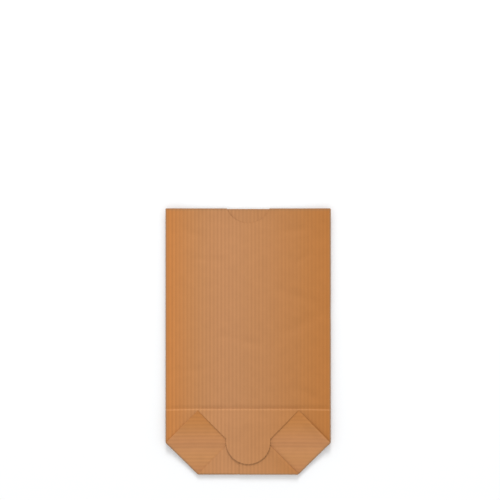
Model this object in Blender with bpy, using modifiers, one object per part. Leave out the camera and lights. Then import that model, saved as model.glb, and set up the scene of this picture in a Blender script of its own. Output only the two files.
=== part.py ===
"""Brown paper bag with a folded cross bottom, lying flat on its rear wall.

One sheet of ribbed kraft paper is lapped into a tube along the middle of the
rear wall. The tube's lower end is squashed open into a hexagon, and two flaps
close it. The bag is built as that sheet: plies, one above the other, and the
round bends that join them, as one open surface that Solidify makes as thick as
the paper. The front wall springs up a little between its folds, and the sides
and ends curl off the floor. Four folds meet at each corner of the bottom, and
a pinhole is left there, as in the real bag.

X runs across the bag, +Y towards its mouth, +Z up. The origin is on the floor
under the middle of the bag. Sizes are in metres.
"""

import math

import bmesh
import bpy
from mathutils import Vector

# Driving sizes of the folded bag
BAG_WIDTH = 0.145            # over the side folds
BAG_LENGTH = 0.234           # from the bottom fold to the front wall's mouth edge
BOTTOM_WIDTH = 0.056         # between the bottom's lower and upper fold lines
FLAP_LENGTH = 0.0246         # of both bottom flaps, without the tongue
TONGUE_SIDE = 0.0029         # straight part of the tongue, before its round end
NOTCH_RADIUS = 0.0203        # thumb notch in the front wall's mouth edge
NOTCH_DEPTH = 0.0129
REAR_SETBACK = 0.0005        # the rear wall's mouth edge lies this much lower
SEAM_OVERLAP = 0.015         # glued lap along the middle of the rear wall
SEAM_RAMP = 0.004            # stretch in which the inner ply climbs onto the lap
CREASE_GAP = 0.0001          # from the bottom's upper fold to the crease above it
CREASE_STEP = 0.0009         # width of the crease's steep lower side
CREASE_VALLEY = 0.0046       # width of its gentle upper side
POCKET_RAMP = 0.005          # stretch in which a pocket climbs onto the front wall

# Driving sizes of the paper
PAPER_THICKNESS = 0.0001
PLY_PITCH = 0.0004           # from the middle of one loose ply to the next
TIGHT_SHARE = 0.5            # of that pitch, where the bottom's upper fold is pressed
TIGHT_LENGTH = 0.014         # from that fold to where the plies lie loose
FOLD_REACH = 0.0004          # how far the middle of the paper bends out past a fold line
CORNER_HOLE = 0.001          # from a bottom corner to where its folds begin

# How the folded bag warps
BOTTOM_RISE = 0.0009         # of the folded bottom off the rear wall
SLACK_RISE = 0.00055         # of the front wall's middle just above the crease
SLACK_POWER = 12             # how near the side folds that slack ends
BELLY_RISE = 0.0019          # of the front wall's middle, halfway along
MOUTH_PRESS = 0.00045        # of the front wall towards the rear one at the mouth
SIDE_CURL = 0.0036           # of the side folds off the floor
SIDE_CURL_START = 0.036      # from the bag's middle
MOUTH_CURL = 0.0016          # of the mouth off the floor
BOTTOM_CURL = 0.0009         # of the bottom fold off the floor
END_CURL_START = 0.086       # from the bag's middle

# Fineness of the model
BEND_STEPS = 6               # facets round each fold
ARC_STEPS = 24               # facets round the tongue and the notch
WALL_COLUMNS = 12
WALL_ROWS = 11
BOTTOM_ROWS = 4
TOUCHING = 1e-6              # points closer than this count as one

# Finish
PAPER_COLOUR = (0.546, 0.246, 0.098, 1.0)
PAPER_ROUGHNESS = 0.72

# Height of each ply above the floor, counted in plies
REAR = 0
REAR_LAP = 0.5
FRONT = 2
STRIP = 3
UPPER_POCKET = 4
UPPER_TIP_PLY = 5
LOWER_POCKET = 2
LOWER_TIP_PLY = 2.6
REAR_FLAP_LEFT = 3.2
REAR_FLAP_RIGHT = 4
TOP_FLAP = 6

# Fold lines and cut edges
RIM = FOLD_REACH + PAPER_THICKNESS / 2
SIDE_X = BAG_WIDTH / 2 - RIM
MOUTH_Y = BAG_LENGTH / 2
REAR_MOUTH_Y = MOUTH_Y - REAR_SETBACK
LOWER_Y = -BAG_LENGTH / 2 + RIM
UPPER_Y = LOWER_Y + BOTTOM_WIDTH
CORNER_Y = (LOWER_Y + UPPER_Y) / 2
CREASE_Y = UPPER_Y + CREASE_GAP
VALLEY_Y = CREASE_Y + CREASE_STEP
FLAP_X = SIDE_X - BOTTOM_WIDTH / 2
POCKET_X = FLAP_X - FLAP_LENGTH
LAP_X = SEAM_OVERLAP / 2

# Corners of the bottom on the left side, where four folds meet
SIDE_CORNER = (-SIDE_X, CORNER_Y)
LOWER_CORNER = (-FLAP_X, LOWER_Y)
UPPER_CORNER = (-FLAP_X, UPPER_Y)

# Ends of the flaps' slanted folds and of the pocket's cut edge
LOWER_TIP = (-POCKET_X, LOWER_Y + FLAP_LENGTH)
UPPER_TIP = (-POCKET_X, UPPER_Y - FLAP_LENGTH)
LOWER_CUT = (-POCKET_X, LOWER_Y)
UPPER_CUT = (-POCKET_X, UPPER_Y)


def across(point):
    """The same point on the other side of the bag."""
    return (-point[0], point[1])


def mirrored(outline):
    """The same outline on the other side, still anticlockwise."""
    return [across(point) for point in reversed(outline)]


def arc(centre, radius, start, end):
    """Points of an arc from one angle to another, both ends included."""
    angles = [start + (end - start) * step / ARC_STEPS for step in range(ARC_STEPS + 1)]
    return [(centre[0] + radius * math.cos(a), centre[1] + radius * math.sin(a)) for a in angles]


def cut_corners(outline):
    """Leave the pinhole out at each corner where four folds meet."""
    left = [SIDE_CORNER, LOWER_CORNER, UPPER_CORNER]
    holes = [Vector(corner) for corner in left + [across(corner) for corner in left]]
    points = []
    for index, point in enumerate(outline):
        corner = Vector(point)
        if all((corner - hole).length > TOUCHING for hole in holes):
            points.append(corner)
            continue
        for neighbour in (outline[index - 1], outline[(index + 1) % len(outline)]):
            along = (Vector(neighbour) - corner).normalized()
            points.append(corner + along * CORNER_HOLE)
    return points


def notch():
    """The thumb notch, from right to left."""
    centre = (0.0, MOUTH_Y + NOTCH_RADIUS - NOTCH_DEPTH)
    half_angle = math.acos((centre[1] - MOUTH_Y) / NOTCH_RADIUS)
    return arc(centre, NOTCH_RADIUS, half_angle - math.pi / 2, -half_angle - math.pi / 2)


def tongue():
    """The top flap's round end, from left to right."""
    centre = (0.0, UPPER_Y - FLAP_LENGTH - TONGUE_SIDE)
    return arc(centre, POCKET_X, math.pi, 2 * math.pi)


def outlines():
    """The plies' outlines, by name. All run anticlockwise, seen from above."""
    rear = [(LAP_X, REAR_MOUTH_Y), (-SIDE_X, REAR_MOUTH_Y), SIDE_CORNER, LOWER_CORNER, (LAP_X, LOWER_Y)]
    front = [(-SIDE_X, MOUTH_Y), SIDE_CORNER, across(SIDE_CORNER), (SIDE_X, MOUTH_Y)] + notch()
    strip = [SIDE_CORNER, across(SIDE_CORNER), across(UPPER_CORNER), UPPER_CORNER]
    pocket = [SIDE_CORNER, LOWER_CORNER, LOWER_CUT, UPPER_CUT, UPPER_CORNER]
    lower_tip = [LOWER_CORNER, LOWER_CUT, LOWER_TIP]
    upper_tip = [UPPER_CORNER, UPPER_TIP, UPPER_CUT]
    rear_flap = [LOWER_CORNER, (LAP_X, LOWER_Y), (LAP_X, LOWER_TIP[1]), LOWER_TIP]
    top_flap = [UPPER_CORNER, UPPER_TIP] + tongue() + [across(UPPER_TIP), across(UPPER_CORNER)]
    return {
        "rear_left": rear,
        "rear_right": mirrored(rear),
        "front": front,
        "strip": strip,
        "pocket_left": pocket,
        "pocket_right": mirrored(pocket),
        "lower_tip_left": lower_tip,
        "lower_tip_right": mirrored(lower_tip),
        "upper_tip_left": upper_tip,
        "upper_tip_right": mirrored(upper_tip),
        "rear_flap_left": rear_flap,
        "rear_flap_right": mirrored(rear_flap),
        "top_flap": top_flap,
    }


def folds():
    """Each fold: its lower ply, its upper ply and the two ends of its line."""
    middle = [
        ("front", "strip", SIDE_CORNER, across(SIDE_CORNER)),
        ("strip", "top_flap", UPPER_CORNER, across(UPPER_CORNER)),
    ]
    left = [
        ("rear_left", "front", SIDE_CORNER, (-SIDE_X, REAR_MOUTH_Y)),
        ("rear_left", "pocket_left", SIDE_CORNER, LOWER_CORNER),
        ("strip", "pocket_left", SIDE_CORNER, UPPER_CORNER),
        ("rear_left", "rear_flap_left", LOWER_CORNER, (LAP_X, LOWER_Y)),
        ("pocket_left", "lower_tip_left", LOWER_CORNER, LOWER_CUT),
        ("lower_tip_left", "rear_flap_left", LOWER_CORNER, LOWER_TIP),
        ("pocket_left", "upper_tip_left", UPPER_CORNER, UPPER_CUT),
        ("upper_tip_left", "top_flap", UPPER_CORNER, UPPER_TIP),
    ]
    right = []
    for lower, upper, start, end in left:
        names = [name.replace("left", "right") for name in (lower, upper)]
        right.append((names[0], names[1], across(start), across(end)))
    return middle + left + right


def cut_lines():
    """Lines on which every ply gets points, as a place and a direction across."""
    columns = [SIDE_X * (2 * step / WALL_COLUMNS - 1) for step in range(1, WALL_COLUMNS)]
    columns += [-LAP_X - SEAM_RAMP, -LAP_X, LAP_X]
    wall = MOUTH_Y - UPPER_Y
    rows = [UPPER_Y + wall * step / WALL_ROWS for step in range(WALL_ROWS)]
    rows += [LOWER_Y + BOTTOM_WIDTH * step / BOTTOM_ROWS for step in range(1, BOTTOM_ROWS)]
    rows += [CORNER_Y - POCKET_RAMP, CREASE_Y, VALLEY_Y, VALLEY_Y + CREASE_VALLEY, REAR_MOUTH_Y]
    lines = [((x, 0.0, 0.0), (1.0, 0.0, 0.0)) for x in columns]
    return lines + [((0.0, y, 0.0), (0.0, 1.0, 0.0)) for y in rows]


def ramp(distance, width):
    """Rise evenly from 0 to 1 over a width, and stay there outside it."""
    return min(max(distance / width, 0.0), 1.0)


def curl(x, y):
    """Height of the sheet's sides and ends, which curl off the floor."""
    side = ramp(abs(x) - SIDE_CURL_START, SIDE_X - SIDE_CURL_START)
    end = ramp(abs(y) - END_CURL_START, MOUTH_Y - END_CURL_START)
    end_curl = MOUTH_CURL if y > 0 else BOTTOM_CURL
    return SIDE_CURL * side ** 2 + end_curl * end ** 2


def spring(x, y):
    """Height that the plies above the rear wall spring up."""
    along = ramp(y - VALLEY_Y, MOUTH_Y - VALLEY_Y)
    step = BOTTOM_RISE * (1 - ramp(y - CREASE_Y, CREASE_STEP))
    fullness = (1 + (x / SIDE_X) ** 2) * (1 - (x / SIDE_X) ** SLACK_POWER)
    slack = SLACK_RISE * ramp(y - VALLEY_Y, CREASE_VALLEY) * (1 - along) * fullness
    belly = (BELLY_RISE + MOUTH_PRESS / 2) * math.sin(math.pi * along) - MOUTH_PRESS * along
    return step + slack + belly * math.cos(math.pi / 2 * x / SIDE_X)


def lap_level(x):
    """How many plies the rear wall's left half lies above its right half."""
    return REAR_LAP * ramp(x + LAP_X + SEAM_RAMP, SEAM_RAMP)


def level(ply, x, y):
    """How many plies a ply lies above the floor, at a place."""
    climb = (UPPER_POCKET - LOWER_POCKET) * (1 - ramp(CORNER_Y - y, POCKET_RAMP))
    levels = {
        "rear_left": lap_level(x),
        "rear_right": REAR,
        "front": FRONT,
        "strip": STRIP,
        "pocket_left": LOWER_POCKET + climb,
        "pocket_right": LOWER_POCKET + climb,
        "lower_tip_left": LOWER_TIP_PLY + climb,
        "lower_tip_right": LOWER_TIP_PLY + climb,
        "upper_tip_left": UPPER_TIP_PLY,
        "upper_tip_right": UPPER_TIP_PLY,
        "rear_flap_left": REAR_FLAP_LEFT + climb,
        "rear_flap_right": REAR_FLAP_RIGHT + climb,
        "top_flap": TOP_FLAP,
    }
    above_front = max(levels[ply] - FRONT, 0.0)
    tight = TIGHT_SHARE + (1 - TIGHT_SHARE) * ramp(UPPER_Y - y, TIGHT_LENGTH)
    return levels[ply] - above_front * (1 - tight)


def height(ply, x, y):
    """Height of the middle of the paper in a ply, at a place."""
    base = PAPER_THICKNESS / 2 + level(ply, x, y) * PLY_PITCH + curl(x, y)
    return base if ply in ("rear_left", "rear_right") else base + spring(x, y)


def add_ply(sheet, name, outline, lines):
    """Add one ply to the sheet and return its points."""
    flat = bmesh.new()
    flat.faces.new([flat.verts.new((point[0], point[1], 0.0)) for point in cut_corners(outline)])
    for place, direction in lines:
        everything = flat.verts[:] + flat.edges[:] + flat.faces[:]
        bmesh.ops.bisect_plane(flat, geom=everything, dist=TOUCHING, plane_co=place, plane_no=direction)
    copies = {}
    for point in flat.verts:
        x, y = point.co.x, point.co.y
        copies[point] = sheet.verts.new((x, y, height(name, x, y)))
    for face in flat.faces:
        sheet.faces.new([copies[point] for point in face.verts])
    flat.free()
    return list(copies.values())


def on_line(points, start, end):
    """The points of a ply that lie on a fold line, in order along it."""
    along = (Vector(end) - Vector(start)).normalized()
    length = (Vector(end) - Vector(start)).length
    found = []
    for point in points:
        offset = point.co.xy - Vector(start)
        place = offset.dot(along)
        if (offset - along * place).length < TOUCHING and -TOUCHING < place < length + TOUCHING:
            found.append((place, point))
    found.sort(key=lambda entry: entry[0])
    return [point for _, point in found]


def add_bend(sheet, lower, upper, start, end, nested):
    """Join two plies round their shared fold line. A nested bend stays inside another at the seam."""
    along = (Vector(end) - Vector(start)).normalized()
    outward = Vector((along.y, -along.x))
    middle = sum((point.co.xy for point in lower), Vector((0.0, 0.0))) / len(lower)
    if outward.dot(middle - Vector(start)) > 0:
        outward.negate()
    rows = []
    for low, high in zip(on_line(lower, start, end), on_line(upper, start, end), strict=True):
        radius = (high.co.z - low.co.z) / 2
        tuck = PLY_PITCH * lap_level(low.co.x) if nested else 0.0
        reach = min(radius, FOLD_REACH) - tuck
        row = [low]
        for step in range(1, BEND_STEPS):
            angle = math.pi * step / BEND_STEPS
            place = low.co.xy + outward * reach * math.sin(angle)
            row.append(sheet.verts.new((place.x, place.y, low.co.z + radius * (1 - math.cos(angle)))))
        rows.append(row + [high])
    for this, following in zip(rows, rows[1:]):
        for step in range(BEND_STEPS):
            corners = (this[step], this[step + 1], following[step + 1], following[step])
            sheet.faces.new(corners)


def folded_sheet():
    """The whole sheet as a mesh without thickness."""
    sheet = bmesh.new()
    lines = cut_lines()
    plies = {name: add_ply(sheet, name, outline, lines) for name, outline in outlines().items()}
    for lower, upper, start, end in folds():
        add_bend(sheet, plies[lower], plies[upper], start, end, nested=lower == "rear_left")
    bmesh.ops.recalc_face_normals(sheet, faces=sheet.faces[:])
    mesh = bpy.data.meshes.new("paper_bag")
    sheet.to_mesh(mesh)
    sheet.free()
    return mesh


def kraft_paper():
    """Brown machine-glazed kraft paper."""
    material = bpy.data.materials.new("ribbed_kraft_paper")
    material.use_nodes = True
    shader = material.node_tree.nodes["Principled BSDF"]
    shader.inputs["Base Color"].default_value = PAPER_COLOUR
    shader.inputs["Roughness"].default_value = PAPER_ROUGHNESS
    shader.inputs["Metallic"].default_value = 0.0
    return material


def main():
    for leftover in list(bpy.data.objects):
        bpy.data.objects.remove(leftover, do_unlink=True)
    collection = bpy.data.collections.new("paper_bag")
    bpy.context.scene.collection.children.link(collection)
    mesh = folded_sheet()
    mesh.materials.append(kraft_paper())
    mesh.shade_smooth()
    bag = bpy.data.objects.new("paper_bag", mesh)
    collection.objects.link(bag)
    paper = bag.modifiers.new("paper", "SOLIDIFY")
    paper.thickness = PAPER_THICKNESS
    paper.offset = 0.0
    paper.use_even_offset = True


main()
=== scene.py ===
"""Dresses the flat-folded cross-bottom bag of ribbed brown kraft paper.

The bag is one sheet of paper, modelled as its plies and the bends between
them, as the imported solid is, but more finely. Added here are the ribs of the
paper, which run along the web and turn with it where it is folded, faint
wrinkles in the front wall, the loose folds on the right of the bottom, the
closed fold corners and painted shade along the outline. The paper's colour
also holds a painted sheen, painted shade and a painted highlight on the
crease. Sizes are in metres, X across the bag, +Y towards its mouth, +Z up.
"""

import logging
import math
from collections import defaultdict
from dataclasses import dataclass, field
from enum import Enum

import bmesh
import bpy
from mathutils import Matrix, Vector, noise

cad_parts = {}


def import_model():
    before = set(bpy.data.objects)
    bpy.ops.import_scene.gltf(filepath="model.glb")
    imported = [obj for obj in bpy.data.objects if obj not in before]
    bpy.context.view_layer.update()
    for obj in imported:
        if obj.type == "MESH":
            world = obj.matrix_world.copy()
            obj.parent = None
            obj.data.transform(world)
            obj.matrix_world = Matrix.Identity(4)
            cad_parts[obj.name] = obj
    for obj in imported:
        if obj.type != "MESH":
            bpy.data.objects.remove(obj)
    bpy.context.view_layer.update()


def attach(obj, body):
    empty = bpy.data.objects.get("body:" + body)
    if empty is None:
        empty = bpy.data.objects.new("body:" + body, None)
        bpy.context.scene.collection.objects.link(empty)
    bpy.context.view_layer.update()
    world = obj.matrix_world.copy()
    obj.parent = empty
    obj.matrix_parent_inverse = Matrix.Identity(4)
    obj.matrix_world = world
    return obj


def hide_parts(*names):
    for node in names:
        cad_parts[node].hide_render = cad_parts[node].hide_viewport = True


Point = tuple[float, float]
Span = tuple[float, float]
Outline = list[Point]
Place = tuple[float, float, float]
SheetPoints = list[bmesh.types.BMVert]
Tree = bpy.types.NodeTree
Socket = bpy.types.NodeSocket
Values = dict[str | int, object]
Links = dict[str | int, Socket]

MM = 0.001
RIB_PITCH = 3.313 * MM
SHARP_ANGLE = math.radians(45)
SHEET_PLACE = "sheet_place"
# Per point, how strongly the painted shade along the outline shows.
PAINTED_RIM_SHADE = "painted_rim_shade"
# A Mix node's colour sockets share their names with others, so they go by number.
MIX_FROM, MIX_TO, MIX_RESULT = 6, 7, 2
LOG = logging.getLogger("paper_bag")


def linear(colour: str) -> tuple[float, float, float, float]:
    """Turn an sRGB hex colour to linear values.

    Args:
        colour: Six hex digits, red first.

    Returns:
        Linear red, green, blue and an alpha of 1.
    """
    parts = []
    for start in (0, 2, 4):
        value = int(colour[start:start + 2], 16) / 255
        parts.append(value / 12.92 if value <= 0.04045 else ((value + 0.055) / 1.055) ** 2.4)
    return (parts[0], parts[1], parts[2], 1.0)


def smooth(value: float) -> float:
    """Ease from 0 to 1, and stay there outside that range."""
    held = min(max(value, 0.0), 1.0)
    return held * held * (3 - 2 * held)


def across(point: Point) -> Point:
    """Give the same point on the other side of the bag."""
    return (-point[0], point[1])


def mirrored(outline: Outline) -> Outline:
    """Give the same outline on the other side, still anticlockwise."""
    return [across(point) for point in reversed(outline)]


def add_node(tree: Tree, kind: str, values: Values | None = None, links: Links | None = None,
             **settings: object) -> bpy.types.Node:
    """Add one node to a tree.

    Args:
        tree: The material's or geometry's node tree.
        kind: The node's type.
        values: Constant values, by the input's name or number.
        links: Sockets to link from, by the input's name or number.
        settings: The node's own settings.

    Returns:
        The new node.
    """
    node = tree.nodes.new(kind)
    for name, value in settings.items():
        setattr(node, name, value)
    for name, value in (values or {}).items():
        node.inputs[name].default_value = value
    for name, socket in (links or {}).items():
        tree.links.new(socket, node.inputs[name])
    return node


class Side(Enum):
    """The two sides of the bag, seen from above, as the sign of X."""

    LEFT = -1
    RIGHT = 1


@dataclass(frozen=True)
class Crease:
    """A soft line along which some plies are pressed down, or spring up where the depth is negative."""

    start: Point
    end: Point
    depth: float
    width: float
    plies: tuple[str, ...] = ("front",)
    end_share: float = 0.1

    def height(self, ply: str, x: float, y: float) -> float:
        """Give the height that the line adds at a place of a ply.

        Args:
            ply: The ply's name.
            x: Place across the bag.
            y: Place along the bag.

        Returns:
            The height, which fades away from the line and towards its ends.
        """
        if ply not in self.plies:
            return 0.0
        line = Vector(self.end) - Vector(self.start)
        offset = Vector((x, y)) - Vector(self.start)
        along = min(max(offset.dot(line) / line.length_squared, 0.0), 1.0)
        away = (offset - line * along).length / self.width
        taper = math.sin(math.pi * (self.end_share + (1 - 2 * self.end_share) * along))
        return -self.depth * taper * math.exp(-away * away)


@dataclass(frozen=True)
class Wave:
    """An uneven wave in the loose front wall, with so many cells of noise in a metre."""

    height: float
    cells_across: float
    cells_along: float
    seed: float

    def at(self, x: float, y: float) -> float:
        """Give the height that the wave adds at a place."""
        cell = Vector((x * self.cells_across, y * self.cells_along, self.seed))
        return self.height * noise.noise(cell)


@dataclass(frozen=True)
class Ply:
    """One part of the folded sheet, so many plies above the floor."""

    name: str
    outline: Outline
    level: float


@dataclass(frozen=True)
class Fold:
    """A fold line, and the names of the plies below and above its bend."""

    lower: str
    upper: str
    start: Point
    end: Point

    def on_right(self) -> "Fold":
        """Give the same fold on the right side of the bag."""
        names = (name.replace("left", "right") for name in (self.lower, self.upper))
        return Fold(*names, across(self.start), across(self.end))


@dataclass
class FoldedBag:
    """The bag's sheet, folded and glued, as one open surface with round bends."""

    # The bag as it lies, its folded bottom and its mouth.
    width: float = 145.0 * MM
    length: float = 234.0 * MM
    bottom_width: float = 56.0 * MM
    flap_length: float = 24.6 * MM
    tongue_side: float = 2.9 * MM
    notch_radius: float = 20.3 * MM
    notch_depth: float = 12.9 * MM
    rear_setback: float = 0.5 * MM
    # The seam of the rear wall, whose left half climbs onto its right half.
    seam_overlap: float = 15.0 * MM
    seam_ramp: float = 4.0 * MM
    rear_lap: float = 0.45
    # The front wall, and the crease across it just above the folded bottom.
    front_level: float = 2.0
    crease_gap: float = 0.1 * MM
    crease_step: float = 0.9 * MM
    crease_valley: float = 4.6 * MM
    # The turned pockets, which climb over the fold of the front wall.
    pocket_climb: float = 2.0
    pocket_ramp: float = 5.0 * MM
    pocket_crease: float = 1.1 * MM
    # The paper, the distance between its plies, and how they are pressed together.
    paper: float = 0.1 * MM
    pitch: float = 0.4 * MM
    fold_reach: float = 0.4 * MM
    corner_hole: float = 0.5 * MM
    top_tightness: float = 0.58
    tight_length: float = 14.0 * MM
    # The spring of everything above the rear wall, and the waves in it.
    bottom_rise: float = 0.9 * MM
    slack_rise: float = 0.55 * MM
    slack_power: int = 6
    belly_rise: float = 1.9 * MM
    mouth_press: float = 0.6 * MM
    waves: tuple[Wave, ...] = (Wave(0.25 * MM, 45, 30, 4.2), Wave(0.12 * MM, 95, 70, 7.9))
    still_side: float = 18.0 * MM
    still_mouth: float = 14.0 * MM
    # The curl of the sides, the ends and the tongue, and the width of the painted shade along the
    # outline.
    side_curl: float = 3.6 * MM
    side_curl_start: float = 36.0 * MM
    mouth_curl: float = 1.6 * MM
    bottom_curl: float = 0.9 * MM
    end_curl_start: float = 86.0 * MM
    tongue_lift: float = 0.3 * MM
    painted_rim_shade: float = 1.3 * MM
    # How finely the plies and bends are divided.
    columns_a_rib: int = 3
    wall_row: float = 2.6 * MM
    bottom_row: float = 1.19 * MM
    crease_row: float = 0.4 * MM
    bend_steps: int = 5
    arc_steps: int = 40
    touching: float = 0.002 * MM
    creases: list[Crease] = field(default_factory=list)

    def __post_init__(self) -> None:
        """Work out the fold lines and the corners from the sizes."""
        rim = self.fold_reach + self.paper / 2
        self.side_x = self.width / 2 - rim
        self.mouth_y = self.length / 2
        self.rear_mouth_y = self.mouth_y - self.rear_setback
        self.lower_y = -self.length / 2 + rim
        self.upper_y = self.lower_y + self.bottom_width
        self.corner_y = (self.lower_y + self.upper_y) / 2
        self.crease_y = self.upper_y + self.crease_gap
        self.valley_y = self.crease_y + self.crease_step
        self.flap_x = self.side_x - self.bottom_width / 2
        self.pocket_x = self.flap_x - self.flap_length
        self.lap_x = self.seam_overlap / 2
        self.side_corner = (-self.side_x, self.corner_y)
        self.lower_corner = (-self.flap_x, self.lower_y)
        self.upper_corner = (-self.flap_x, self.upper_y)
        self.lower_cut = (-self.pocket_x, self.lower_y)
        self.upper_cut = (-self.pocket_x, self.upper_y)
        self.lower_end = (-self.pocket_x, self.lower_y + self.flap_length)
        self.upper_end = (-self.pocket_x, self.upper_y - self.flap_length)
        self.plies = {ply.name: ply for ply in self._plies()}

    def _arc(self, centre: Point, radius: float, start: float, end: float) -> Outline:
        """Give points of an arc.

        Args:
            centre: The arc's centre.
            radius: Its radius.
            start: The angle of its first point.
            end: The angle of its last point.

        Returns:
            The points, both ends included.
        """
        turns = [start + (end - start) * step / self.arc_steps for step in range(self.arc_steps + 1)]
        return [(centre[0] + radius * math.cos(a), centre[1] + radius * math.sin(a)) for a in turns]

    def _notch(self) -> Outline:
        """Give the thumb notch, from right to left.

        Returns:
            The points of its arc.
        """
        centre = (0.0, self.mouth_y + self.notch_radius - self.notch_depth)
        half = math.acos((centre[1] - self.mouth_y) / self.notch_radius)
        return self._arc(centre, self.notch_radius, half - math.pi / 2, -half - math.pi / 2)

    def _tongue(self) -> Outline:
        """Give the round end of the top flap, from left to right."""
        centre = (0.0, self.upper_end[1] - self.tongue_side)
        return self._arc(centre, self.pocket_x, math.pi, 2 * math.pi)

    def _plies(self) -> list[Ply]:
        """List the plies.

        Returns:
            The plies with their outlines and levels.
        """
        side, lower, upper = self.side_corner, self.lower_corner, self.upper_corner
        lap_end = (self.lap_x, self.lower_y)
        rear = [(self.lap_x, self.rear_mouth_y), (-self.side_x, self.rear_mouth_y), side, lower, lap_end]
        front = [(-self.side_x, self.mouth_y), side, across(side), (self.side_x, self.mouth_y)]
        strip = [side, across(side), across(upper), upper]
        pocket = [side, lower, self.lower_cut, self.upper_cut, upper]
        lower_tip = [lower, self.lower_cut, self.lower_end]
        upper_tip = [upper, self.upper_end, self.upper_cut]
        rear_flap = [lower, lap_end, (self.lap_x, self.lower_end[1]), self.lower_end]
        top_flap = [upper, self.upper_end, *self._tongue(), across(self.upper_end), across(upper)]
        return [
            Ply("rear_left", rear, 0),
            Ply("rear_right", mirrored(rear), 0),
            Ply("front", front + self._notch(), self.front_level),
            Ply("strip", strip, 3),
            Ply("pocket_left", pocket, 2),
            Ply("pocket_right", mirrored(pocket), 2),
            Ply("lower_tip_left", lower_tip, 2.45),
            Ply("lower_tip_right", mirrored(lower_tip), 2.45),
            Ply("upper_tip_left", upper_tip, 5),
            Ply("upper_tip_right", mirrored(upper_tip), 5),
            Ply("rear_flap_left", rear_flap, 2.9),
            Ply("rear_flap_right", mirrored(rear_flap), 4),
            Ply("top_flap", top_flap, 6),
        ]

    def _folds(self) -> list[Fold]:
        """List the folds.

        Returns:
            The two folds across the middle, and those of the left and right sides.
        """
        side, lower, upper = self.side_corner, self.lower_corner, self.upper_corner
        middle = [
            Fold("front", "strip", side, across(side)),
            Fold("strip", "top_flap", upper, across(upper)),
        ]
        left = [
            Fold("rear_left", "front", side, (-self.side_x, self.rear_mouth_y)),
            Fold("rear_left", "pocket_left", side, lower),
            Fold("strip", "pocket_left", side, upper),
            Fold("rear_left", "rear_flap_left", lower, (self.lap_x, self.lower_y)),
            Fold("pocket_left", "lower_tip_left", lower, self.lower_cut),
            Fold("lower_tip_left", "rear_flap_left", lower, self.lower_end),
            Fold("pocket_left", "upper_tip_left", upper, self.upper_cut),
            Fold("upper_tip_left", "top_flap", upper, self.upper_end),
        ]
        return middle + left + [fold.on_right() for fold in left]

    def _cut_corners(self, outline: Outline) -> list[Vector]:
        """Leave out the pinhole at each corner where four folds meet.

        Args:
            outline: A ply's outline.

        Returns:
            The outline, with each such corner cut off.
        """
        left = [self.side_corner, self.lower_corner, self.upper_corner]
        holes = [Vector(corner) for corner in left + [across(corner) for corner in left]]
        points = []
        for index, place in enumerate(outline):
            corner = Vector(place)
            if all((corner - hole).length > self.touching for hole in holes):
                points.append(corner)
                continue
            for neighbour in (outline[index - 1], outline[(index + 1) % len(outline)]):
                along = (Vector(neighbour) - corner).normalized()
                points.append(corner + along * self.corner_hole)
        return points

    def _cut_lines(self) -> list[tuple[Vector, Vector]]:
        """List the lines on which every ply gets points.

        Returns:
            Each line's place and the direction across it.
        """
        column = RIB_PITCH / self.columns_a_rib
        half = int(self.side_x / column)
        xs = [column * step for step in range(-half, half + 1)]
        wall = self.mouth_y - self.upper_y
        rows = int(wall / self.wall_row)
        quarters = (0, 0.25, 0.5, 0.75, 1)
        ys = [self.crease_y + self.crease_step * part for part in quarters]
        ys += [self.valley_y + self.crease_valley * part for part in quarters[1:]]
        ys += [self.upper_y + wall * step / rows for step in range(1, rows)]
        steps = int(self.bottom_width / self.bottom_row / 2) * 2
        ys += [self.lower_y + self.bottom_width * step / steps for step in range(1, steps + 1)]
        ys += [self.corner_y - self.pocket_crease + self.crease_row * step for step in range(-2, 3)]
        ys.append(self.rear_mouth_y)
        lines = [(Vector((x, 0, 0)), Vector((1, 0, 0))) for x in xs]
        return lines + [(Vector((0, y, 0)), Vector((0, 1, 0))) for y in ys]

    def _lap_level(self, x: float) -> float:
        """Give how many plies the rear wall's left half lies above its right half."""
        return self.rear_lap * smooth((x + self.lap_x + self.seam_ramp) / self.seam_ramp)

    def _level(self, ply: Ply, x: float, y: float) -> float:
        """Give how many plies a ply lies above the floor.

        Args:
            ply: The ply.
            x: Place across the bag.
            y: Place along the bag.

        Returns:
            The level, which climbs with the pockets and is pressed together at the upper fold.
        """
        if ply.name == "rear_left":
            return self._lap_level(x)
        level = ply.level
        if ply.name.startswith(("pocket", "lower_tip", "rear_flap")):
            level += self.pocket_climb * (1 - smooth((self.corner_y - y) / self.pocket_ramp))
        tight = self.top_tightness * (1 - smooth((self.upper_y - y) / self.tight_length))
        return level - max(level - self.front_level, 0.0) * tight

    def _curl(self, x: float, y: float) -> float:
        """Give the height of the sheet's sides and ends, which curl off the floor.

        Args:
            x: Place across the bag.
            y: Place along the bag.

        Returns:
            The height.
        """
        side = max(abs(x) - self.side_curl_start, 0.0) / (self.side_x - self.side_curl_start)
        end = max(abs(y) - self.end_curl_start, 0.0) / (self.mouth_y - self.end_curl_start)
        end_curl = self.mouth_curl if y > 0 else self.bottom_curl
        return self.side_curl * side * side + end_curl * end * end

    def _spring(self, x: float, y: float) -> float:
        """Give the height that everything above the rear wall springs up.

        Args:
            x: Place across the bag.
            y: Place along the bag.

        Returns:
            The height.
        """
        fall = self.bottom_rise * (1 - smooth((y - self.crease_y) / self.crease_step))
        rise = smooth((y - self.valley_y) / self.crease_valley)
        along = max(y - self.valley_y, 0.0) / (self.mouth_y - self.valley_y)
        arch = (self.belly_rise + self.mouth_press / 2) * math.sin(math.pi * along)
        arch -= self.mouth_press * along
        bulge = math.cos(math.pi / 2 * x / self.side_x)
        outward = (x / self.side_x) ** 2
        slack = self.slack_rise * rise * (1 - along) * (1 + outward) * (1 - outward ** self.slack_power)
        waves = sum(wave.at(x, y) for wave in self.waves)
        free_side = smooth((self.side_x - abs(x)) / self.still_side)
        free_mouth = smooth((self.mouth_y - y) / self.still_mouth)
        return fall + slack + arch * bulge + rise * waves * free_side * free_mouth

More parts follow.
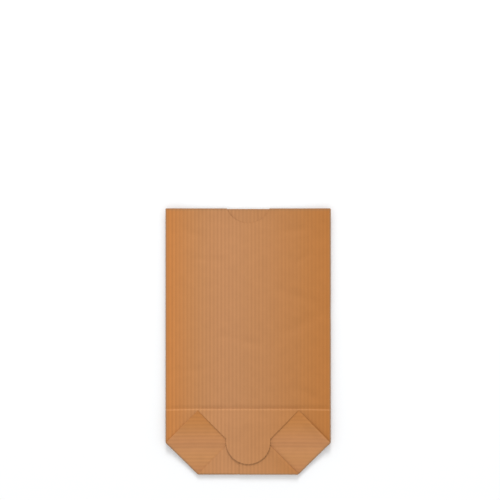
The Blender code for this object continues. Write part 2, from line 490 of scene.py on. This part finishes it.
    def height(self, ply: Ply, x: float, y: float) -> float:
        """Give the height of the middle of the paper.

        Args:
            ply: The ply.
            x: Place across the bag.
            y: Place along the bag.

        Returns:
            The height above the floor.
        """
        height = self.paper / 2 + self.pitch * self._level(ply, x, y) + self._curl(x, y)
        if ply.name in ("rear_left", "rear_right"):
            return height
        height += self._spring(x, y)
        height += sum(crease.height(ply.name, x, y) for crease in self.creases)
        if ply.name == "top_flap":
            past = (self.upper_end[1] - y) / (self.tongue_side + self.pocket_x)
            height += self.tongue_lift * max(past, 0.0) ** 2
        return height

    def sheet_place(self, ply: Ply, x: float, y: float) -> Point:
        """Give where a place of a ply lies on the flat sheet.

        Args:
            ply: The ply.
            x: Place across the bag.
            y: Place along the bag.

        Returns:
            Place across the web, from the front wall's middle, and along it.
        """
        side = Side.LEFT if ply.name.endswith("left") else Side.RIGHT
        edge = side.value * self.side_x
        if ply.name.startswith("rear"):
            down = 2 * self.lower_y - y if "flap" in ply.name else y
            return (2 * edge - x, down)
        if ply.name == "front":
            return (x, y)
        if ply.name == "strip":
            return (x, 2 * self.corner_y - y)
        if ply.name == "top_flap":
            return (x, y - self.bottom_width)
        turned = y
        if ply.name.startswith("lower_tip"):
            turned = 2 * self.lower_y - y
        elif ply.name.startswith("upper_tip"):
            turned = 2 * self.upper_y - y
        return (edge - side.value * (turned - self.corner_y), self.corner_y - abs(edge - x))

    def rim_shade(self, x: float, y: float) -> float:
        """Give how strongly the painted shade along the outline shows.

        Args:
            x: Place across the bag.
            y: Place along the bag.

        Returns:
            From 1 at the bag's outline to 0 further in.
        """
        slanted = (self.side_x - abs(x) + y - self.corner_y) / math.sqrt(2)
        inward = min(self.side_x - abs(x), y - self.lower_y, self.mouth_y - y, slanted)
        return 1.0 - min(max(inward / self.painted_rim_shade, 0.0), 1.0)

    def _add_ply(self, sheet: bmesh.types.BMesh, ply: Ply,
                 lines: list[tuple[Vector, Vector]]) -> SheetPoints:
        """Add one ply to the sheet.

        Args:
            sheet: The sheet so far.
            ply: The ply.
            lines: The lines on which it gets points.

        Returns:
            The ply's points.
        """
        flat = bmesh.new()
        flat.faces.new([flat.verts.new((p.x, p.y, 0.0)) for p in self._cut_corners(ply.outline)])
        for place, direction in lines:
            parts = flat.verts[:] + flat.edges[:] + flat.faces[:]
            bmesh.ops.bisect_plane(flat, geom=parts, dist=self.touching, plane_co=place,
                                   plane_no=direction)
        places = sheet.verts.layers.float_vector[SHEET_PLACE]
        rim_shades = sheet.verts.layers.float[PAINTED_RIM_SHADE]
        copies = {}
        for point in flat.verts:
            x, y = point.co.x, point.co.y
            copy = sheet.verts.new((x, y, self.height(ply, x, y)))
            # The third part is 1 on the pockets, where the web is turned by a right angle.
            copy[places] = (*self.sheet_place(ply, x, y), float("pocket" in ply.name))
            # The painted shade along the outline, strongest at the outline.
            copy[rim_shades] = self.rim_shade(x, y)
            copies[point] = copy
        for face in flat.faces:
            sheet.faces.new([copies[point] for point in face.verts])
        flat.free()
        return list(copies.values())

    def _on_line(self, points: SheetPoints, start: Point, end: Point) -> SheetPoints:
        """Pick the points on a fold line.

        Args:
            points: The points of a ply.
            start: The line's start.
            end: The line's end.

        Returns:
            The points, in order along the line.
        """
        line = Vector(end) - Vector(start)
        along = line.normalized()
        found = []
        for point in points:
            offset = point.co.xy - Vector(start)
            place = offset.dot(along)
            off = (offset - along * place).length
            if off < self.touching and -self.touching < place < line.length + self.touching:
                found.append((place, point))
        found.sort(key=lambda entry: entry[0])
        return [point for _, point in found]

    def _tuck(self, ply: str, x: float) -> float:
        """Give how much less a bend reaches out where it lies inside another bend.

        Args:
            ply: The name of the ply below the bend.
            x: Place across the bag.

        Returns:
            The length that it stays behind.
        """
        if ply == "rear_left":
            return self.pitch * self._lap_level(x)
        return self.fold_reach / 2 if ply.startswith("pocket") else 0.0

    def _add_strip(self, sheet: bmesh.types.BMesh, this: SheetPoints, following: SheetPoints) -> None:
        """Fill the stretch between two rows of a bend."""
        for step in range(self.bend_steps):
            sheet.faces.new((this[step], this[step + 1], following[step + 1], following[step]))

    def _add_bend(self, sheet: bmesh.types.BMesh, fold: Fold,
                  points: dict[str, SheetPoints]) -> list[SheetPoints]:
        """Join two plies round the fold line that they share.

        Args:
            sheet: The sheet so far.
            fold: The fold.
            points: Each ply's points, by its name.

        Returns:
            The bend's rows of points, in order along the line.
        """
        places = sheet.verts.layers.float_vector[SHEET_PLACE]
        rim_shades = sheet.verts.layers.float[PAINTED_RIM_SHADE]
        start = Vector(fold.start)
        along = (Vector(fold.end) - start).normalized()
        outward = Vector((along.y, -along.x))
        lower = points[fold.lower]
        middle = sum((point.co.xy for point in lower), Vector((0.0, 0.0))) / len(lower)
        if outward.dot(middle - start) > 0:
            outward.negate()
        lows = self._on_line(lower, fold.start, fold.end)
        highs = self._on_line(points[fold.upper], fold.start, fold.end)
        rows = []
        for low, high in zip(lows, highs, strict=True):
            radius = (high.co.z - low.co.z) / 2
            reach = min(radius, self.fold_reach - self._tuck(fold.lower, low.co.x))
            row = [low]
            for step in range(1, self.bend_steps):
                angle = math.pi * step / self.bend_steps
                place = low.co.xy + outward * reach * math.sin(angle)
                point = sheet.verts.new((place.x, place.y, low.co.z + radius * (1 - math.cos(angle))))
                point[places] = low[places]
                # The bend carries the painted outline shade of its lower ply's point.
                point[rim_shades] = low[rim_shades]
                row.append(point)
            rows.append([*row, high])
        for this, following in zip(rows, rows[1:]):
            self._add_strip(sheet, this, following)
        return rows

    def build(self, name: str) -> bpy.types.Object:
        """Fold the sheet.

        Two bends that rise from one ply at a corner are joined there too.

        Args:
            name: Name of the new object.

        Returns:
            The sheet as an object without thickness.
        """
        sheet = bmesh.new()
        sheet.verts.layers.float_vector.new(SHEET_PLACE)
        sheet.verts.layers.float.new(PAINTED_RIM_SHADE)
        lines = self._cut_lines()
        points = {ply.name: self._add_ply(sheet, ply, lines) for ply in self.plies.values()}
        corners = defaultdict(list)
        for fold in self._folds():
            rows = self._add_bend(sheet, fold, points)
            corners[fold.lower, fold.start].append(rows[0])
            corners[fold.lower, fold.end].append(rows[-1])
        for rows in corners.values():
            if len(rows) == 2:
                self._add_strip(sheet, *rows)
        bmesh.ops.recalc_face_normals(sheet, faces=sheet.faces[:])
        mesh = bpy.data.meshes.new(name)
        sheet.to_mesh(mesh)
        sheet.free()
        mesh.shade_smooth()
        bag = bpy.data.objects.new(name, mesh)
        bpy.context.scene.collection.objects.link(bag)
        return bag


@dataclass(frozen=True)
class RibRelief:
    """The fine ribs that the paper machine's felt leaves, as a relief to either side of the sheet."""

    depth: float = 0.025 * MM
    crest: float = 0.44 * MM

    def tree(self) -> Tree:
        """Build the tree that raises the ribs along the web and sets the paper.

        Returns:
            The tree, with named inputs for its sizes.
        """
        tree = bpy.data.node_groups.new("paper_ribs", "GeometryNodeTree")
        sockets = tree.interface
        sockets.new_socket("Sheet", in_out="INPUT", socket_type="NodeSocketGeometry")
        for name in ("Rib pitch", "Rib depth", "Rib crest"):
            sockets.new_socket(name, in_out="INPUT", socket_type="NodeSocketFloat")
        sockets.new_socket("Paper", in_out="INPUT", socket_type="NodeSocketMaterial")
        sockets.new_socket("Bag", in_out="OUTPUT", socket_type="NodeSocketGeometry")
        given = add_node(tree, "NodeGroupInput").outputs
        place = add_node(tree, "GeometryNodeInputNamedAttribute", {"Name": SHEET_PLACE},
                         data_type="FLOAT_VECTOR")
        parts = add_node(tree, "ShaderNodeSeparateXYZ", links={0: place.outputs["Attribute"]})
        shifted = add_node(tree, "ShaderNodeMath", links={0: parts.outputs["X"], 1: given["Rib crest"]},
                           operation="SUBTRACT")
        turns = add_node(tree, "ShaderNodeMath", links={0: shifted.outputs[0], 1: given["Rib pitch"]},
                         operation="DIVIDE")
        angle = add_node(tree, "ShaderNodeMath", {1: 2 * math.pi}, {0: turns.outputs[0]},
                         operation="MULTIPLY")
        wave = add_node(tree, "ShaderNodeMath", links={0: angle.outputs[0]}, operation="COSINE")
        rise = add_node(tree, "ShaderNodeMath", links={0: wave.outputs[0], 1: given["Rib depth"]},
                        operation="MULTIPLY")
        normal = add_node(tree, "GeometryNodeInputNormal")
        push = add_node(tree, "ShaderNodeVectorMath",
                        links={0: normal.outputs["Normal"], "Scale": rise.outputs[0]}, operation="SCALE")
        moved = add_node(tree, "GeometryNodeSetPosition",
                         links={"Geometry": given["Sheet"], "Offset": push.outputs["Vector"]})
        real = add_node(tree, "GeometryNodeRealizeInstances", links={0: moved.outputs[0]})
        dressed = add_node(tree, "GeometryNodeSetMaterial",
                           links={"Geometry": real.outputs[0], "Material": given["Paper"]})
        add_node(tree, "NodeGroupOutput", links={0: dressed.outputs[0]})
        return tree

    def add_to(self, sheet: bpy.types.Object, paper: bpy.types.Material) -> None:
        """Put the relief on the sheet as a modifier, with its inputs set.

        Args:
            sheet: The folded sheet.
            paper: The sheet's material.
        """
        ribs = sheet.modifiers.new("ribs", "NODES")
        ribs.node_group = self.tree()
        values = {"Rib pitch": RIB_PITCH, "Rib depth": self.depth, "Rib crest": self.crest,
                  "Paper": paper}
        for item in ribs.node_group.interface.items_tree:
            if item.name in values:
                ribs[item.identifier] = values[item.name]


@dataclass(frozen=True)
class RibbedKraft:
    """Unbleached kraft paper, glazed on one face by the dryer and ribbed by the felt."""

    # Unbleached pulp gives the eye a warm brown; across the bag the ramp adds a painted sheen, paler and
    # less saturated left of the middle, and painted shade that deepens towards the sides, most on the
    # right.
    web_tones_and_painted_light: tuple[str, ...] = ("BA773C", "B47B4A", "B47E52", "B27C4F", "B07848", "AE733E", "AE6F35")
    web_half: float = 72.5 * MM
    # The pockets' brown, with painted shade that darkens them towards their top and their bottom.
    turned_tones_and_painted_shade: tuple[str, ...] = ("AD754A", "B67F4F", "B57D50", "B27844", "B0723A")
    turned_span: Span = (-117.0 * MM, -61.0 * MM)
    # The felt's ribs give the eye fine stripes along the web, which come and go.
    rib_crest: float = 1.27 * MM
    rib_contrasts: Span = (0.056, 0.034)
    contrast_half: float = 40.0 * MM
    rib_spread: float = 7.0 * MM
    rib_noise: Span = (0.3, 0.7)
    rib_shares: Span = (0.5, 1.5)
    pocket_contrast: float = 0.8
    # A thin painted highlight, paler and less saturated, runs along the front wall's crease.
    front_half: float = 72.0 * MM
    crease_highlight_tone: str = "CB9B6A"
    fold_y: float = -59.95 * MM
    highlight_width: float = 0.6 * MM
    highlight_core: float = 0.3 * MM
    crease_highlight_share: float = 0.2
    # Painted shade darkens the outline to a duller, greyer rim.
    rim_shade_tone: str = "96714F"
    rim_shade_share: float = 0.85
    # Fibres clot into clouds about a centimetre wide, seen as faint light and dark patches.
    cloud_size: float = 9.0 * MM
    cloud_detail: float = 3.0
    cloud_shades: Span = (0.94, 1.06)
    # Kraft fibres are about 0.03 mm thick, too fine to show, so their grain is drawn coarser.
    fibre_size: float = 0.6 * MM
    fibre_detail: float = 2.0
    fibre_height: float = 0.02 * MM
    fibre_strength: float = 0.15
    # The glazed face gives the eye a soft, slightly milky sheen and no clear reflection.
    roughness: float = 0.6
    gloss: float = 0.2

    def _ramp(self, tree: Tree, place: Socket, span: Span, tones: tuple[str, ...]) -> Socket:
        """Spread tones evenly over a stretch of a coordinate.

        Args:
            tree: The material's tree.
            place: The coordinate.
            span: Where the stretch starts and ends.
            tones: The tones, in sRGB hex.

        Returns:
            The colour.
        """
        spread = add_node(tree, "ShaderNodeMapRange", {"From Min": span[0], "From Max": span[1]},
                          {"Value": place})
        node = add_node(tree, "ShaderNodeValToRGB", links={"Fac": spread.outputs["Result"]})
        points = node.color_ramp.elements
        node.color_ramp.interpolation = "CARDINAL"
        points[0].color = linear(tones[0])
        points[1].color = linear(tones[-1])
        for index, tone in enumerate(tones[1:-1], start=1):
            points.new(index / (len(tones) - 1)).color = linear(tone)
        return node.outputs["Color"]

    def _crease_highlight(self, tree: Tree, along: Socket, across_web: Socket) -> Socket:
        """Give the share of the painted highlight on the front wall's crease.

        Args:
            tree: The material's tree.
            along: Place along the bag.
            across_web: Place across the web, from the front wall's middle.

        Returns:
            The share, from 0 to 1.
        """
        offset = add_node(tree, "ShaderNodeMath", {1: self.fold_y}, {0: along}, operation="SUBTRACT")
        away = add_node(tree, "ShaderNodeMath", links={0: offset.outputs[0]}, operation="ABSOLUTE")
        edges = {"From Min": self.highlight_width, "From Max": self.highlight_core, "To Max": self.crease_highlight_share}
        line = add_node(tree, "ShaderNodeMapRange", edges, {"Value": away.outputs[0]})
        sideways = add_node(tree, "ShaderNodeMath", links={0: across_web}, operation="ABSOLUTE")
        front = add_node(tree, "ShaderNodeMath", {1: self.front_half}, {0: sideways.outputs[0]},
                         operation="LESS_THAN")
        share = add_node(tree, "ShaderNodeMath", links={0: line.outputs["Result"], 1: front.outputs[0]},
                         operation="MULTIPLY")
        return share.outputs[0]

    def _rim(self, tree: Tree) -> Socket:
        """Give the share of the painted shade on the bag's outline.

        Args:
            tree: The material's tree.

        Returns:
            The share, from 0 to 1.
        """
        rim_shade = add_node(tree, "ShaderNodeAttribute", attribute_name=PAINTED_RIM_SHADE).outputs["Fac"]
        rim = add_node(tree, "ShaderNodeMath", {1: self.rim_shade_share}, {0: rim_shade}, operation="MULTIPLY")
        return rim.outputs[0]

    def _tone(self, tree: Tree, place: bpy.types.Node, web: bpy.types.Node) -> Socket:
        """Mix the paper's tones, with their painted sheen and shade, the crease's painted highlight and
        the outline's painted shade.

        Args:
            tree: The material's tree.
            place: The node that parts the place on the bag.
            web: The node that parts the place on the flat sheet.

        Returns:
            The colour, without ribs.
        """
        # The web's tones hold a painted sheen and painted shade across the bag; the pockets' tones hold
        # painted shade along it.
        straight = self._ramp(tree, place.outputs["X"], (-self.web_half, self.web_half), self.web_tones_and_painted_light)
        turned = self._ramp(tree, place.outputs["Y"], self.turned_span, self.turned_tones_and_painted_shade)
        tone = add_node(tree, "ShaderNodeMix",
                        links={0: web.outputs["Z"], MIX_FROM: straight, MIX_TO: turned},
                        data_type="RGBA").outputs[MIX_RESULT]
        # The painted highlight along the crease, then the painted shade along the outline.
        line = self._crease_highlight(tree, place.outputs["Y"], web.outputs["X"])
        crease_highlighted = add_node(tree, "ShaderNodeMix", {MIX_TO: linear(self.crease_highlight_tone)},
                           {0: line, MIX_FROM: tone}, data_type="RGBA").outputs[MIX_RESULT]
        rim_shaded = add_node(tree, "ShaderNodeMix", {MIX_TO: linear(self.rim_shade_tone)},
                           {0: self._rim(tree), MIX_FROM: crease_highlighted}, data_type="RGBA")
        return rim_shaded.outputs[MIX_RESULT]

    def _rib_strength(self, tree: Tree, across_bag: Socket, web: bpy.types.Node) -> Socket:
        """Give how strongly the ribs show.

        They fade towards the right and on the pockets, and are uneven across the web.

        Args:
            tree: The material's tree.
            across_bag: Place across the bag.
            web: The node that parts the place on the flat sheet.

        Returns:
            The ribs' strength as a share of the tone.
        """
        left, right = self.rib_contrasts
        sides = {"From Min": -self.contrast_half, "From Max": self.contrast_half, "To Min": left,
                 "To Max": right}
        contrast = add_node(tree, "ShaderNodeMapRange", sides, {"Value": across_bag})
        uneven = add_node(tree, "ShaderNodeTexNoise", {"Scale": 1 / self.rib_spread},
                          {"W": web.outputs["X"]}, noise_dimensions="1D")
        shares = {"From Min": self.rib_noise[0], "From Max": self.rib_noise[1],
                  "To Min": self.rib_shares[0], "To Max": self.rib_shares[1]}
        share = add_node(tree, "ShaderNodeMapRange", shares, {"Value": uneven.outputs["Fac"]})
        laid = add_node(tree, "ShaderNodeMath", links={0: contrast.outputs[0], 1: share.outputs[0]},
                        operation="MULTIPLY")
        softer = add_node(tree, "ShaderNodeMapRange", {"To Min": 1.0, "To Max": self.pocket_contrast},
                          {"Value": web.outputs["Z"]})
        strength = add_node(tree, "ShaderNodeMath", links={0: laid.outputs[0], 1: softer.outputs[0]},
                            operation="MULTIPLY")
        return strength.outputs[0]

    def _ribs(self, tree: Tree, across_web: Socket) -> Socket:
        """Give a wave that peaks on each rib.

        Args:
            tree: The material's tree.
            across_web: Place across the web.

        Returns:
            The wave, from -1 to 1.
        """
        shifted = add_node(tree, "ShaderNodeMath", {1: self.rib_crest}, {0: across_web},
                           operation="SUBTRACT")
        angle = add_node(tree, "ShaderNodeMath", {1: 2 * math.pi / RIB_PITCH},
                         {0: shifted.outputs[0]}, operation="MULTIPLY")
        wave = add_node(tree, "ShaderNodeMath", links={0: angle.outputs[0]}, operation="COSINE")
        return wave.outputs[0]

    def _shade(self, tree: Tree, place: Socket, across_bag: Socket, web: bpy.types.Node) -> Socket:
        """Give the share of the tone that the ribs and the paper's clouds leave.

        Args:
            tree: The material's tree.
            place: Place on the flat sheet.
            across_bag: Place across the bag.
            web: The node that parts the place on the flat sheet.

        Returns:
            The share, near 1.
        """
        clouds = add_node(tree, "ShaderNodeTexNoise",
                          {"Scale": 1 / self.cloud_size, "Detail": self.cloud_detail},
                          {"Vector": place})
        level = add_node(tree, "ShaderNodeMapRange",
                         {"To Min": self.cloud_shades[0], "To Max": self.cloud_shades[1]},
                         {"Value": clouds.outputs["Fac"]})
        strength = self._rib_strength(tree, across_bag, web)
        ribbed = add_node(tree, "ShaderNodeMath",
                          links={0: self._ribs(tree, web.outputs["X"]), 1: strength,
                                 2: level.outputs["Result"]}, operation="MULTIPLY_ADD")
        return ribbed.outputs[0]

    def _grain(self, tree: Tree, place: Socket) -> Socket:
        """Give the fine unevenness of the fibres.

        Args:
            tree: The material's tree.
            place: Place on the flat sheet.

        Returns:
            The normal.
        """
        fibres = add_node(tree, "ShaderNodeTexNoise",
                          {"Scale": 1 / self.fibre_size, "Detail": self.fibre_detail},
                          {"Vector": place})
        grain = add_node(tree, "ShaderNodeBump",
                         {"Strength": self.fibre_strength, "Distance": self.fibre_height},
                         {"Height": fibres.outputs["Fac"]})
        return grain.outputs["Normal"]

    def material(self) -> bpy.types.Material:
        """Build the paper's material.

        Returns:
            The material.
        """
        paper = bpy.data.materials.new("machine_glazed_ribbed_kraft_paper")
        paper.use_nodes = True
        tree = paper.node_tree
        shader = tree.nodes["Principled BSDF"]
        shader.inputs["Roughness"].default_value = self.roughness
        shader.inputs["Specular IOR Level"].default_value = self.gloss
        on_bag = add_node(tree, "ShaderNodeTexCoord").outputs["Object"]
        place = add_node(tree, "ShaderNodeSeparateXYZ", links={0: on_bag})
        on_sheet = add_node(tree, "ShaderNodeAttribute", attribute_name=SHEET_PLACE).outputs["Vector"]
        web = add_node(tree, "ShaderNodeSeparateXYZ", links={0: on_sheet})
        tone = self._tone(tree, place, web)
        shade = self._shade(tree, on_sheet, place.outputs["X"], web)
        toned = add_node(tree, "ShaderNodeVectorMath", links={0: tone, "Scale": shade},
                         operation="SCALE")
        tree.links.new(toned.outputs["Vector"], shader.inputs["Base Color"])
        tree.links.new(self._grain(tree, on_sheet), shader.inputs["Normal"])
        return paper


@dataclass(frozen=True)
class Studio:
    """A pale floor, soft lights and the camera above the bag."""

    frame_width: float = 440.4 * MM
    aim: Point = (1.64 * MM, 80.46 * MM)
    lens: float = 100.0
    sensor: float = 36.0
    floor_size: float = 6.0
    floor_gap: float = 0.05 * MM
    # Uncoated white card scatters the light evenly, so it shows soft shadows and no reflection.
    floor_tone: str = "F0F1F2"
    floor_roughness: float = 0.9
    key_place: Place = (0.0, 2.4, 1.6)
    key_size: float = 0.9
    key_power: float = 42.0
    world_strength: float = 0.9

    def add_camera(self) -> None:
        """Look straight down, with the photo's frame in view."""
        data = bpy.data.cameras.new("camera")
        data.lens = self.lens
        data.sensor_width = self.sensor
        camera = bpy.data.objects.new("camera", data)
        camera.location = (*self.aim, self.frame_width * self.lens / self.sensor)
        bpy.context.scene.collection.objects.link(camera)
        bpy.context.scene.camera = camera

    def add_floor(self) -> None:
        """Lay a plain white card under the bag."""
        mesh = bpy.data.meshes.new("floor")
        shape = bmesh.new()
        bmesh.ops.create_grid(shape, x_segments=1, y_segments=1, size=self.floor_size / 2)
        shape.to_mesh(mesh)
        shape.free()
        floor = bpy.data.objects.new("floor", mesh)
        bpy.context.scene.collection.objects.link(floor)
        floor.location.z = -self.floor_gap
        card = bpy.data.materials.new("uncoated_white_card")
        card.use_nodes = True
        shader = card.node_tree.nodes["Principled BSDF"]
        shader.inputs["Base Color"].default_value = linear(self.floor_tone)
        shader.inputs["Roughness"].default_value = self.floor_roughness
        shader.inputs["Specular IOR Level"].default_value = 0.0
        mesh.materials.append(card)

    def add_lights(self) -> None:
        """Light the bag evenly from all round, and a little more from past its mouth."""
        world = bpy.data.worlds.new("studio")
        world.use_nodes = True
        background = world.node_tree.nodes["Background"]
        background.inputs["Color"].default_value = linear("FFFFFF")
        background.inputs["Strength"].default_value = self.world_strength
        bpy.context.scene.world = world
        data = bpy.data.lights.new("key", "AREA")
        data.size = self.key_size
        data.energy = self.key_power
        key = bpy.data.objects.new("key", data)
        key.location = self.key_place
        key.rotation_euler = (-Vector(self.key_place)).to_track_quat("-Z", "Y").to_euler()
        bpy.context.scene.collection.objects.link(key)
        bpy.context.scene.view_settings.view_transform = "Standard"


def wrinkles(bag: FoldedBag) -> list[Crease]:
    """List the faint lines that handling left in the front wall, and the pockets' own creases.

    Args:
        bag: The bag that they lie on.

    Returns:
        The lines.
    """
    crease_y = bag.corner_y - bag.pocket_crease
    pocket = [(-64 * MM, crease_y), (-bag.pocket_x - 1 * MM, crease_y)]
    return [
        Crease((72 * MM, 27 * MM), (28 * MM, 6 * MM), 0.75 * MM, 5.0 * MM),
        Crease((26 * MM, 46 * MM), (72 * MM, 30 * MM), 0.55 * MM, 4.5 * MM),
        Crease((-49 * MM, 73 * MM), (-23 * MM, 71 * MM), 0.5 * MM, 2.5 * MM),
        Crease((-23 * MM, 5 * MM), (17 * MM, -5 * MM), 0.5 * MM, 3.5 * MM),
        Crease((28 * MM, 96 * MM), (54 * MM, 99 * MM), 0.5 * MM, 2.5 * MM),
        Crease((41 * MM, 67 * MM), (54 * MM, 79 * MM), 0.6 * MM, 2.5 * MM),
        Crease((38 * MM, -41 * MM), (63 * MM, -50 * MM), 0.5 * MM, 3.5 * MM),
        Crease((-70 * MM, -26 * MM), (-28 * MM, -24 * MM), 0.4 * MM, 3.0 * MM),
        Crease((-60 * MM, 98 * MM), (-40 * MM, 92 * MM), 0.4 * MM, 3.0 * MM),
        Crease((-19 * MM, 115 * MM), (-15.5 * MM, 110 * MM), -0.45 * MM, 3.5 * MM),
        Crease((-12 * MM, 105.5 * MM), (17 * MM, 108.5 * MM), 0.5 * MM, 6.0 * MM),
        Crease(*pocket, 0.16 * MM, 0.7 * MM, ("pocket_left",)),
        Crease(*map(across, pocket), 0.16 * MM, 0.7 * MM, ("pocket_right",)),
    ]


def loose_folds(bag: FoldedBag) -> list[Crease]:
    """List the folds on the right of the bottom that stand up a little off the plies below.

    Args:
        bag: The bag that they lie on.

    Returns:
        The folds, as lines that spring up.
    """
    side, upper, lower = (across(p) for p in (bag.side_corner, bag.upper_corner, bag.lower_corner))
    upper_end, lower_end = across(bag.upper_end), across(bag.lower_end)
    tongue_end = (bag.pocket_x, bag.upper_end[1] - bag.pocket_x)
    pocket = ("strip", "pocket_right", "upper_tip_right", "top_flap")
    return [
        Crease(side, upper, -1.0 * MM, 5.0 * MM, pocket),
        Crease(upper, upper_end, -0.15 * MM, 5.0 * MM, ("upper_tip_right", "top_flap")),
        Crease(upper_end, tongue_end, -0.9 * MM, 8.0 * MM, ("top_flap",)),
        Crease(lower, lower_end, -1.0 * MM, 5.0 * MM, ("lower_tip_right", "rear_flap_right")),
    ]


def thicken(sheet: bpy.types.Object, paper: float, name: str) -> bpy.types.Object:
    """Give the sheet its thickness, and leave a plain mesh in its place.

    Args:
        sheet: The sheet without thickness.
        paper: The paper's thickness.
        name: Name of the new object.

    Returns:
        The finished bag.
    """
    wall = sheet.modifiers.new("paper", "SOLIDIFY")
    wall.thickness = paper
    wall.offset = 0.0
    wall.use_even_offset = True
    graph = bpy.context.evaluated_depsgraph_get()
    mesh = bpy.data.meshes.new_from_object(sheet.evaluated_get(graph))
    bpy.data.objects.remove(sheet)
    mesh.set_sharp_from_angle(angle=SHARP_ANGLE)
    bag = bpy.data.objects.new(name, mesh)
    bpy.context.scene.collection.objects.link(bag)
    return bag


def main() -> None:
    """Build the bag and the studio, and report each piece."""
    logging.basicConfig(level=logging.INFO, format="%(name)s: %(message)s")
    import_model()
    form = FoldedBag()
    form.creases = wrinkles(form) + loose_folds(form)
    sheet = form.build("folded_sheet")
    RibRelief().add_to(sheet, RibbedKraft().material())
    bag = thicken(sheet, form.paper, "kraft_bag")
    bag.data.calc_loop_triangles()
    LOG.info("%s: %d triangles", bag.name, len(bag.data.loop_triangles))
    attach(bag, "root")
    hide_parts("paper_bag")
    studio = Studio()
    studio.add_floor()
    studio.add_camera()
    studio.add_lights()


if __name__ == "__main__":
    main()
